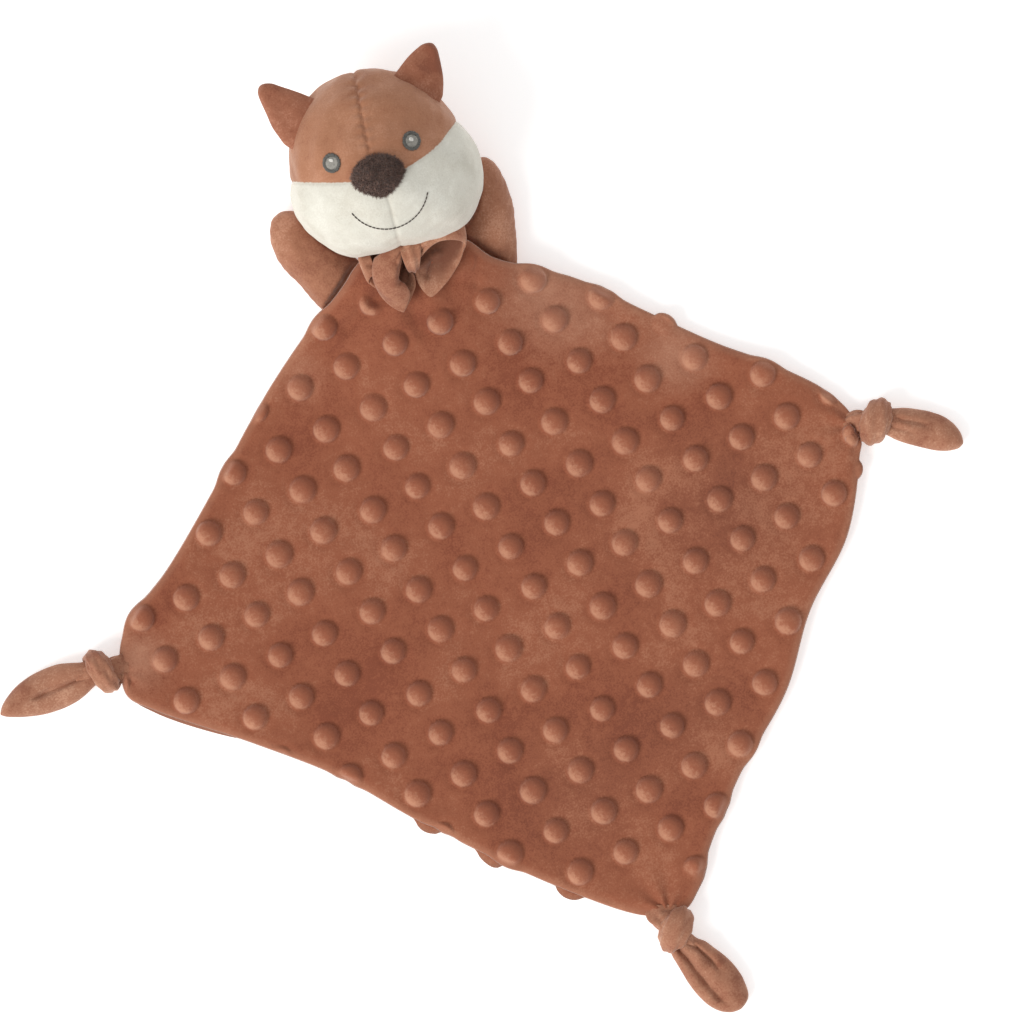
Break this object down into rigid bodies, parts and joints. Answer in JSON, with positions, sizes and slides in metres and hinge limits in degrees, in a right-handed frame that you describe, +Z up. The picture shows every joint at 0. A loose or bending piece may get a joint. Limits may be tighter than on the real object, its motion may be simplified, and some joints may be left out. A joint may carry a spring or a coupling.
{
  "type": "comfort blanket",
  "caption": "Baby's comfort blanket: a stuffed fox head with ears, arms and a bow at one corner of a square of dimple-dot plush whose other corners are tied in knots with padded tails.",
  "frame": {"origin": "middle of the bounding box in plan, on the table under the blanket", "axes": "+X to the viewer's right with the head away from the viewer, +Y from the bottom corner to the head, +Z up from the table to the face"},
  "size_m": [0.4142, 0.4289, 0.0786],
  "materials": {
    "dotted_plush": "matt short pile with raised dots",
    "velour": "matt short pile",
    "head_velour": "matt short pile",
    "cream_velour": "matt short pile",
    "nose_pile": "shaggy pile",
    "grey_thread": "satin stitch",
    "silver_thread": "shiny satin stitch",
    "dark_thread": "sewing thread",
    "fibre_fill": "loose fibre"
  },
  "bodies": {
    "blanket": {"blanket_front_panel": "dotted_plush", "blanket_back_panel": "dotted_plush", "bow_wing_left": "velour", "bow_wing_right": "velour", "bow_centre_band": "velour", "corner_knot_right": "velour", "corner_knot_left": "velour", "corner_knot_bottom": "velour"},
    "neck": {"neck_gather": "velour", "neck_tie_thread": "dark_thread"},
    "head": {"head_brow_left": "head_velour", "head_brow_right": "head_velour", "head_cheek_left": "cream_velour", "head_cheek_right": "cream_velour", "head_back_left": "head_velour", "head_back_right": "head_velour", "head_stuffing": "fibre_fill", "eye_ring_left": "grey_thread", "eye_shine_left": "silver_thread", "eye_ring_right": "grey_thread", "eye_shine_right": "silver_thread", "nose": "nose_pile", "mouth_thread": "dark_thread"},
    "ear_left": {"ear_front_left": "head_velour", "ear_back_left": "head_velour"},
    "ear_right": {"ear_front_right": "head_velour", "ear_back_right": "head_velour"},
    "arm_left": {"arm_front_left": "velour", "arm_back_left": "velour", "arm_stuffing_left": "fibre_fill"},
    "arm_right": {"arm_front_right": "velour", "arm_back_right": "velour", "arm_stuffing_right": "fibre_fill"},
    "tail_right": {"corner_tail_right": "velour"},
    "tail_left": {"corner_tail_left": "velour"},
    "tail_bottom": {"corner_tail_bottom": "velour"}
  },
  "joints": [
    {"name": "head_nod", "type": "hinge", "parent": "blanket", "child": "neck", "pos_m": [0.0195, 0.1285, 0.024], "axis": [1, 0, 0], "range_deg": [0, 15], "stiffness_Nm_per_rad": 0.1},
    {"name": "head_turn", "type": "hinge", "parent": "neck", "child": "head", "pos_m": [0.0195, 0.1285, 0.024], "axis": [0, 1, 0], "range_deg": [-12, 12], "stiffness_Nm_per_rad": 0.1},
    {"name": "ear_left_flap", "type": "hinge", "parent": "head", "child": "ear_left", "pos_m": [-0.0079, 0.19789, 0.0425], "axis": [-0.7431, -0.6691, 0], "range_deg": [-25, 25], "stiffness_Nm_per_rad": 0.005},
    {"name": "ear_right_flap", "type": "hinge", "parent": "head", "child": "ear_right", "pos_m": [0.04977, 0.19336, 0.0425], "axis": [-0.6157, 0.788, 0], "range_deg": [-25, 25], "stiffness_Nm_per_rad": 0.005},
    {"name": "arm_left_fold", "type": "hinge", "parent": "blanket", "child": "arm_left", "pos_m": [-0.006, 0.108, 0.004], "axis": [-0.9272, -0.3746, 0], "range_deg": [0, 50], "stiffness_Nm_per_rad": 0.02},
    {"name": "arm_right_fold", "type": "hinge", "parent": "blanket", "child": "arm_right", "pos_m": [0.046, 0.104, 0.0056], "axis": [-0.9724, 0.2334, 0], "range_deg": [0, 50], "stiffness_Nm_per_rad": 0.02},
    {"name": "tail_right_flap", "type": "hinge", "parent": "blanket", "child": "tail_right", "pos_m": [0.18548, -0.00873, 0.00654], "axis": [-0.5592, -0.829, 0], "range_deg": [-35, 45]},
    {"name": "tail_left_flap", "type": "hinge", "parent": "blanket", "child": "tail_left", "pos_m": [-0.17257, 0.01078, 0.00654], "axis": [-0.1045, 0.9945, 0], "range_deg": [-35, 45]},
    {"name": "tail_bottom_flap", "type": "hinge", "parent": "blanket", "child": "tail_bottom", "pos_m": [0.02828, -0.18359, 0.00654], "axis": [-0.9613, -0.2756, 0], "range_deg": [-35, 45]}
  ]
}
